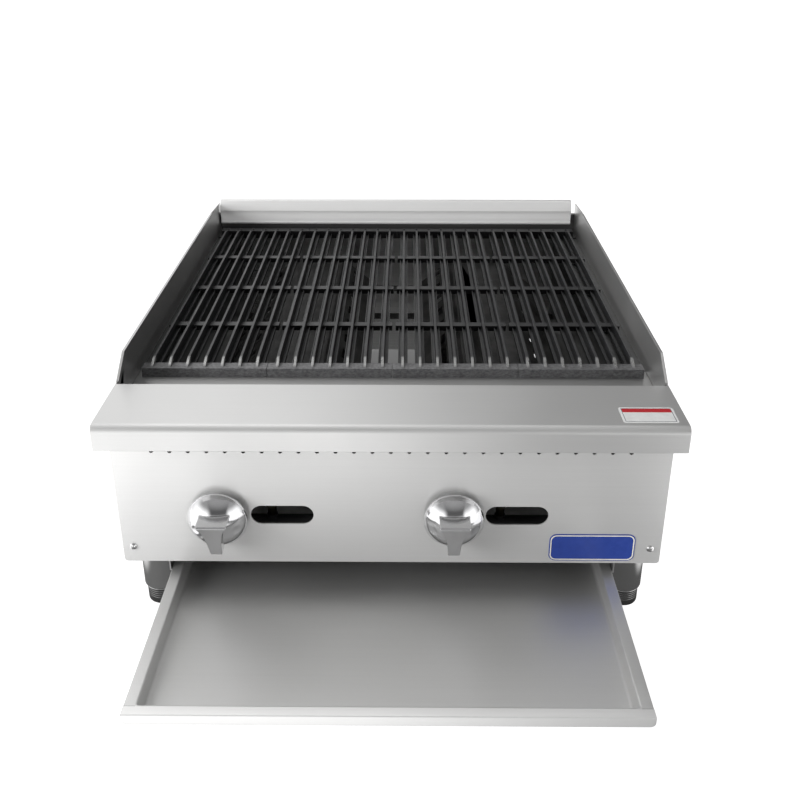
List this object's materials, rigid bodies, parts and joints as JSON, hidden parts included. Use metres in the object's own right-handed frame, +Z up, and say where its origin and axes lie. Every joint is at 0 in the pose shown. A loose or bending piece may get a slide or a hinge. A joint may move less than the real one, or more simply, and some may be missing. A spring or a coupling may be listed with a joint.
{
  "type": "countertop gas charbroiler",
  "caption": "Stainless countertop gas charbroiler: cast-iron grates over radiants and U-shaped burners, turning gas knobs, levelling feet and a drip tray drawn out in front.",
  "frame": {"origin": "on the counter, at the middle of the outline of the whole part with the drip tray drawn out as at rest", "axes": "+X to the right as the cook sees it, +Y from the front to the back, +Z up"},
  "size_m": [0.6144, 0.918, 0.328],
  "materials": {
    "brushed_stainless": "brushed across the width, satin",
    "satin_steel": "fine satin, soft wide highlights",
    "heat_tinted_steel": "dull, darkened by heat",
    "cast_iron": "seasoned black, satin, sand-cast texture",
    "knob_chrome": "polished, light wear",
    "polished_leg": "bright drawn tube",
    "bright_fastener": "bright plated",
    "brass": "machined",
    "aluminium": "drawn tube",
    "black_pipe": "black steel pipe, satin",
    "blue_enamel": "enamel with a cream edge, no lettering",
    "sticker_film": "printed film with plain colour blocks, no lettering"
  },
  "bodies": {
    "casing": {"side_panel_left": "brushed_stainless", "side_panel_right": "brushed_stainless", "front_panel": "brushed_stainless", "front_ledge": "brushed_stainless", "back_panel": "brushed_stainless", "rear_riser": "brushed_stainless", "grate_rest_front": "brushed_stainless", "grate_rest_rear": "heat_tinted_steel", "firebox_liner_left": "heat_tinted_steel", "firebox_liner_right": "heat_tinted_steel", "heat_shield_front": "heat_tinted_steel", "heat_shield_rear": "brushed_stainless", "base_rail_left": "brushed_stainless", "base_rail_right": "brushed_stainless", "cross_rails": "brushed_stainless", "tray_rail_left": "brushed_stainless", "tray_rail_right": "brushed_stainless", "radiant_left": "cast_iron", "radiant_right": "cast_iron", "radiant_rests": "heat_tinted_steel", "burner_left": "cast_iron", "burner_right": "cast_iron", "burner_rests": "heat_tinted_steel", "orifice_left": "brass", "orifice_right": "brass", "manifold_pipe": "black_pipe", "supply_pipe": "black_pipe", "valve_left": "brass", "valve_right": "brass", "pilot_valve_left": "brass", "pilot_valve_right": "brass", "pilot_tube_left": "aluminium", "pilot_tube_right": "aluminium", "pilot_burner_left": "heat_tinted_steel", "pilot_burner_right": "heat_tinted_steel", "leg_front_left": "polished_leg", "leg_front_right": "polished_leg", "leg_rear_left": "polished_leg", "leg_rear_right": "polished_leg", "leg_nuts": "bright_fastener", "panel_screws": "bright_fastener", "side_screws": "bright_fastener", "nameplate": "blue_enamel", "caution_plate": "sticker_film"},
    "drip_tray": {"drip_tray": "satin_steel"},
    "knob_left": {"knob_left": "knob_chrome", "valve_stem_left": "brass"},
    "knob_right": {"knob_right": "knob_chrome", "valve_stem_right": "brass"},
    "air_shutter_left": {"air_shutter_left": "satin_steel"},
    "air_shutter_right": {"air_shutter_right": "satin_steel"},
    "grate_1": {"grate_1": "cast_iron"},
    "grate_2": {"grate_2": "cast_iron"},
    "grate_3": {"grate_3": "cast_iron"},
    "grate_4": {"grate_4": "cast_iron"},
    "foot_front_left": {"foot_front_left": "polished_leg"},
    "foot_front_right": {"foot_front_right": "polished_leg"},
    "foot_rear_left": {"foot_rear_left": "polished_leg"},
    "foot_rear_right": {"foot_rear_right": "polished_leg"}
  },
  "joints": [
    {"name": "tray_slide", "type": "slide", "parent": "casing", "child": "drip_tray", "axis": [0, -1, 0], "range_m": [-0.212, 0.33]},
    {"name": "knob_left_turn", "type": "hinge", "parent": "casing", "child": "knob_left", "pos_m": [-0.1925, -0.267, 0.16], "axis": [0, -1, 0], "range_deg": [0, 90]},
    {"name": "knob_right_turn", "type": "hinge", "parent": "casing", "child": "knob_right", "pos_m": [0.0695, -0.267, 0.16], "axis": [0, -1, 0], "range_deg": [0, 90]},
    {"name": "air_shutter_left_turn", "type": "hinge", "parent": "casing", "child": "air_shutter_left", "pos_m": [-0.1925, -0.153, 0.16], "axis": [0, 1, 0], "range_deg": [0, 60]},
    {"name": "air_shutter_right_turn", "type": "hinge", "parent": "casing", "child": "air_shutter_right", "pos_m": [0.0695, -0.153, 0.16], "axis": [0, 1, 0], "range_deg": [0, 60]},
    {"name": "grate_1_lift", "type": "slide", "parent": "casing", "child": "grate_1", "axis": [0, 0, 1], "range_m": [0, 0.12]},
    {"name": "grate_2_lift", "type": "slide", "parent": "casing", "child": "grate_2", "axis": [0, 0, 1], "range_m": [0, 0.12]},
    {"name": "grate_3_lift", "type": "slide", "parent": "casing", "child": "grate_3", "axis": [0, 0, 1], "range_m": [0, 0.12]},
    {"name": "grate_4_lift", "type": "slide", "parent": "casing", "child": "grate_4", "axis": [0, 0, 1], "range_m": [0, 0.12]},
    {"name": "foot_front_left_screw", "type": "slide", "parent": "casing", "child": "foot_front_left", "axis": [0, 0, -1], "range_m": [0, 0.03]},
    {"name": "foot_front_right_screw", "type": "slide", "parent": "casing", "child": "foot_front_right", "axis": [0, 0, -1], "range_m": [0, 0.03]},
    {"name": "foot_rear_left_screw", "type": "slide", "parent": "casing", "child": "foot_rear_left", "axis": [0, 0, -1], "range_m": [0, 0.03]},
    {"name": "foot_rear_right_screw", "type": "slide", "parent": "casing", "child": "foot_rear_right", "axis": [0, 0, -1], "range_m": [0, 0.03]}
  ]
}
